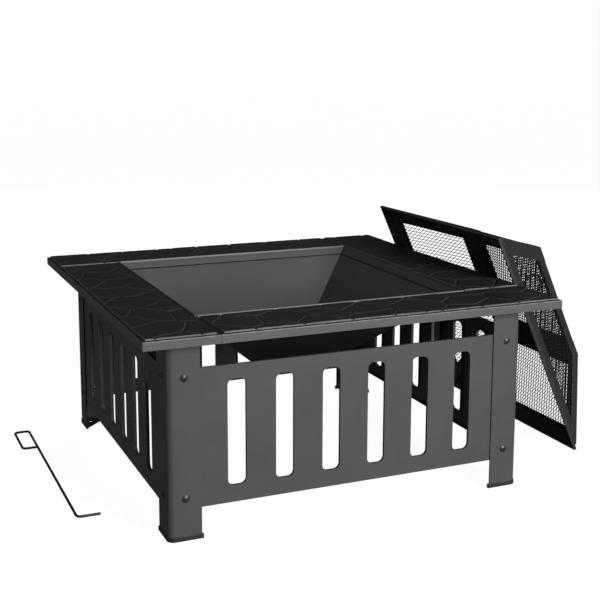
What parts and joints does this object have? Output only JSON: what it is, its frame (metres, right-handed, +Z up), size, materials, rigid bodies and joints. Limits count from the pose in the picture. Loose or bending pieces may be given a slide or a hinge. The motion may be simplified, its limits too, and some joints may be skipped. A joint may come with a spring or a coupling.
{
  "type": "fire pit",
  "caption": "Square steel fire pit table on slotted sides with corner legs, a lift-out bowl and log grate, a pyramid spark screen leaning on the edge and a poker on the ground.",
  "frame": {"origin": "centre of the four feet, on the ground the feet stand on", "axes": "+X along the table's front towards the leaning spark screen, +Y from the front towards the back, +Z up"},
  "size_m": [1.1741, 0.813, 0.472],
  "materials": {
    "slate_steel": "stamped slate relief, low-sheen charcoal paint",
    "grey_steel": "fine-textured grey powder coat",
    "plain_steel": "grey powder coat",
    "zinc_steel": "zinc plated",
    "screw_steel": "dark grey coated, satin",
    "black_plastic": "moulded matte black",
    "bowl_enamel": "heat-resistant grey paint, satin",
    "black_rod": "heat-resistant black paint, matte",
    "black_mesh": "heat-resistant black paint, matte",
    "screen_steel": "heat-resistant dark grey paint, satin",
    "ring_steel": "heat-resistant black paint, matte"
  },
  "bodies": {
    "table": {"top_panel_front": "slate_steel", "top_panel_right": "slate_steel", "top_panel_back": "slate_steel", "top_panel_left": "slate_steel", "joint_strap_front_left": "plain_steel", "joint_strap_front_right": "plain_steel", "joint_strap_back_right": "plain_steel", "joint_strap_back_left": "plain_steel", "panel_nuts": "zinc_steel", "leg_front_left": "grey_steel", "leg_front_right": "grey_steel", "leg_back_right": "grey_steel", "leg_back_left": "grey_steel", "foot_cap_front_left": "black_plastic", "foot_cap_front_right": "black_plastic", "foot_cap_back_right": "black_plastic", "foot_cap_back_left": "black_plastic", "side_panel_front": "grey_steel", "side_panel_right": "grey_steel", "side_panel_back": "grey_steel", "side_panel_left": "grey_steel", "leg_screws": "screw_steel", "leg_nuts": "zinc_steel"},
    "fire_bowl": {"fire_bowl": "bowl_enamel"},
    "log_grate": {"grate_rail_left": "black_rod", "grate_rail_right": "black_rod", "grate_bars": "black_rod"},
    "spark_screen": {"screen_base_frame": "screen_steel", "screen_crown_frame": "screen_steel", "screen_corner_strip_lower_back": "screen_steel", "screen_corner_strip_upper_back": "screen_steel", "screen_corner_strip_upper_front": "screen_steel", "screen_corner_strip_lower_front": "screen_steel", "screen_mesh_lower": "black_mesh", "screen_mesh_back": "black_mesh", "screen_mesh_upper": "black_mesh", "screen_mesh_front": "black_mesh", "screen_mesh_crown": "black_mesh", "screen_ring": "ring_steel", "screen_ring_washers": "ring_steel", "screen_ring_nut": "zinc_steel"},
    "poker": {"poker": "black_rod"}
  },
  "joints": [
    {"name": "bowl_lift", "type": "slide", "parent": "table", "child": "fire_bowl", "axis": [0, 0, 1], "range_m": [0, 0.2]},
    {"name": "grate_lift", "type": "slide", "parent": "fire_bowl", "child": "log_grate", "axis": [0, 0, 1], "range_m": [0, 0.2]},
    {"name": "screen_lift", "type": "slide", "parent": "table", "child": "spark_screen", "axis": [0, 0, 1], "range_m": [0, 0.45]},
    {"name": "poker_lift", "type": "slide", "parent": "table", "child": "poker", "axis": [0, 0, 1], "range_m": [0, 0.45]}
  ]
}
